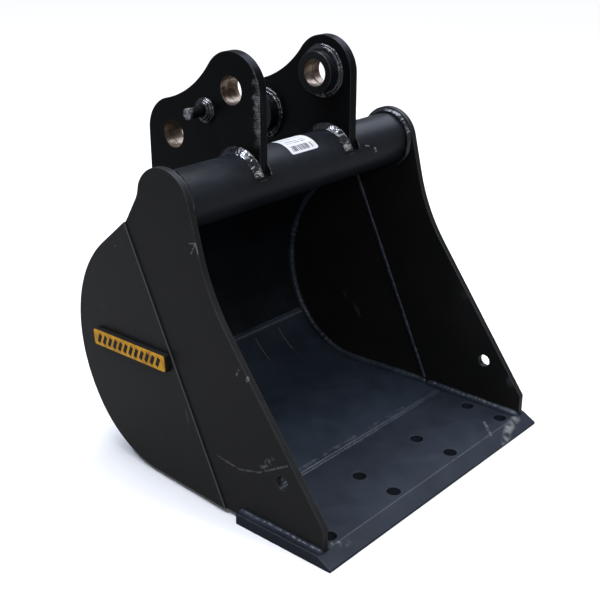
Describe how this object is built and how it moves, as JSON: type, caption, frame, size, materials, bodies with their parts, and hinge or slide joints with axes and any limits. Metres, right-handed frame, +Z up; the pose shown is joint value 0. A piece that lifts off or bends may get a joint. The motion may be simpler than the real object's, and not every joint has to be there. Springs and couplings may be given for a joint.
{
  "type": "excavator bucket",
  "caption": "Welded digging bucket for a small excavator: curved shell, toed-in side plates, bolt-on-tooth edge and pin ears on a torque tube.",
  "frame": {"origin": "centre of the front pin bore, midway between the two ears", "axes": "+X along the pin bores, across the bucket; the mouth faces -Y; +Z up, with the cutting edge flat on the ground"},
  "size_m": [0.5216, 0.5099, 0.608],
  "materials": {
    "body_paint": "semi-gloss black paint",
    "edge_paint": "semi-gloss blue-black paint",
    "weld_paint": "glossy black paint over weld",
    "badge_black": "black paint",
    "badge_yellow": "yellow film with black stripes",
    "label_white": "white film with grey bars"
  },
  "bodies": {
    "root": {"cutting_edge": "edge_paint", "floor_shell": "edge_paint", "back_shell": "body_paint", "side_plate_front_left": "body_paint", "side_plate_front_right": "body_paint", "side_plate_rear_left": "body_paint", "side_plate_rear_right": "body_paint", "torque_tube": "body_paint", "ear_left": "body_paint", "ear_right": "body_paint", "boss_front_left": "body_paint", "boss_front_right": "body_paint", "boss_rear_left": "body_paint", "boss_rear_right": "body_paint", "pin_lock_stub": "body_paint", "badge_block": "badge_black", "badge_face": "badge_yellow", "tube_label": "label_white", "weld_edge_floor": "weld_paint", "weld_shell_joint": "weld_paint", "weld_edge_inner_left": "weld_paint", "weld_edge_inner_right": "weld_paint", "weld_edge_outer_left": "weld_paint", "weld_edge_outer_right": "weld_paint", "weld_shell_side_left": "weld_paint", "weld_shell_side_right": "weld_paint", "weld_side_seam_left": "weld_paint", "weld_side_seam_right": "weld_paint", "weld_tube_end_left": "weld_paint", "weld_tube_end_right": "weld_paint", "weld_tube_shell_outer": "weld_paint", "weld_tube_shell_inner": "weld_paint", "weld_ear_tube_outer_left": "weld_paint", "weld_ear_tube_outer_right": "weld_paint", "weld_ear_tube_inner_left": "weld_paint", "weld_ear_tube_inner_right": "weld_paint", "weld_ear_shell_left": "weld_paint", "weld_ear_shell_right": "weld_paint", "weld_boss_front_left": "weld_paint", "weld_boss_front_right": "weld_paint", "weld_boss_rear_left": "weld_paint", "weld_boss_rear_right": "weld_paint", "weld_stub": "weld_paint"}
  },
  "joints": []
}
